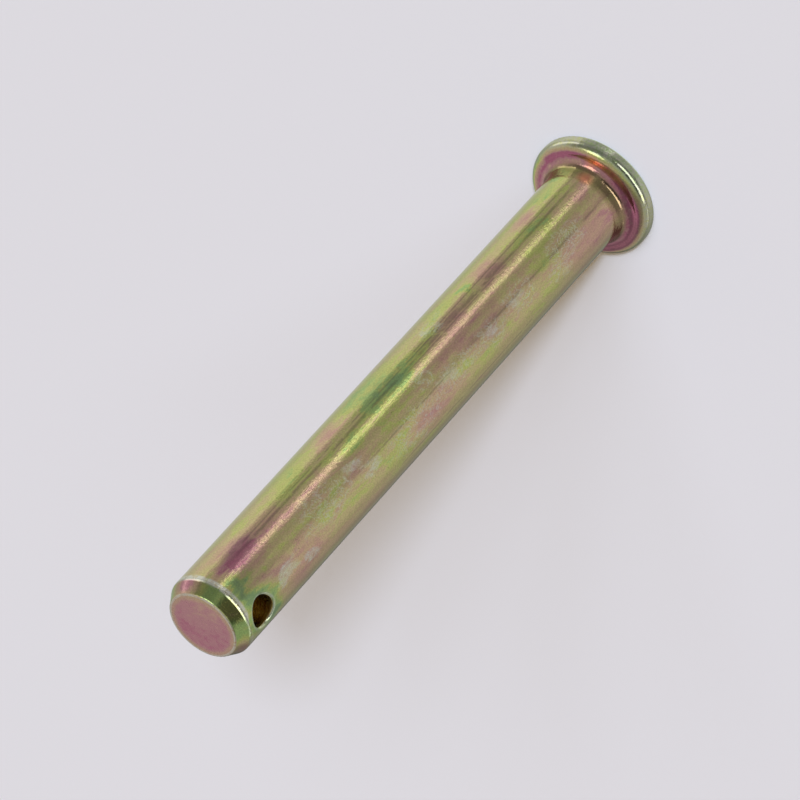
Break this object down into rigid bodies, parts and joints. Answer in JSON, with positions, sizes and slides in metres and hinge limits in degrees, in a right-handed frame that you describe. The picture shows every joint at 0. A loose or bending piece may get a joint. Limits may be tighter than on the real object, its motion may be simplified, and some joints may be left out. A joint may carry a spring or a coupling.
{
  "type": "clevis pin",
  "caption": "Plain round steel pin with a low round head, a bevelled tip and a cotter hole across the shank close to the tip, zinc plated with a yellow, green and pink sheen.",
  "frame": {"origin": "centre of the head's flat top, on which the pin stands", "axes": "+Z along the pin from head to tip, +X along the cotter hole"},
  "size_m": [0.0246, 0.0246, 0.1268],
  "materials": {
    "plated_steel": "yellow-passivated zinc plating on steel, satin, with a yellow-green and pink iridescence and fine scuffs along the shank"
  },
  "bodies": {
    "root": {"clevis_pin": "plated_steel"}
  },
  "joints": []
}
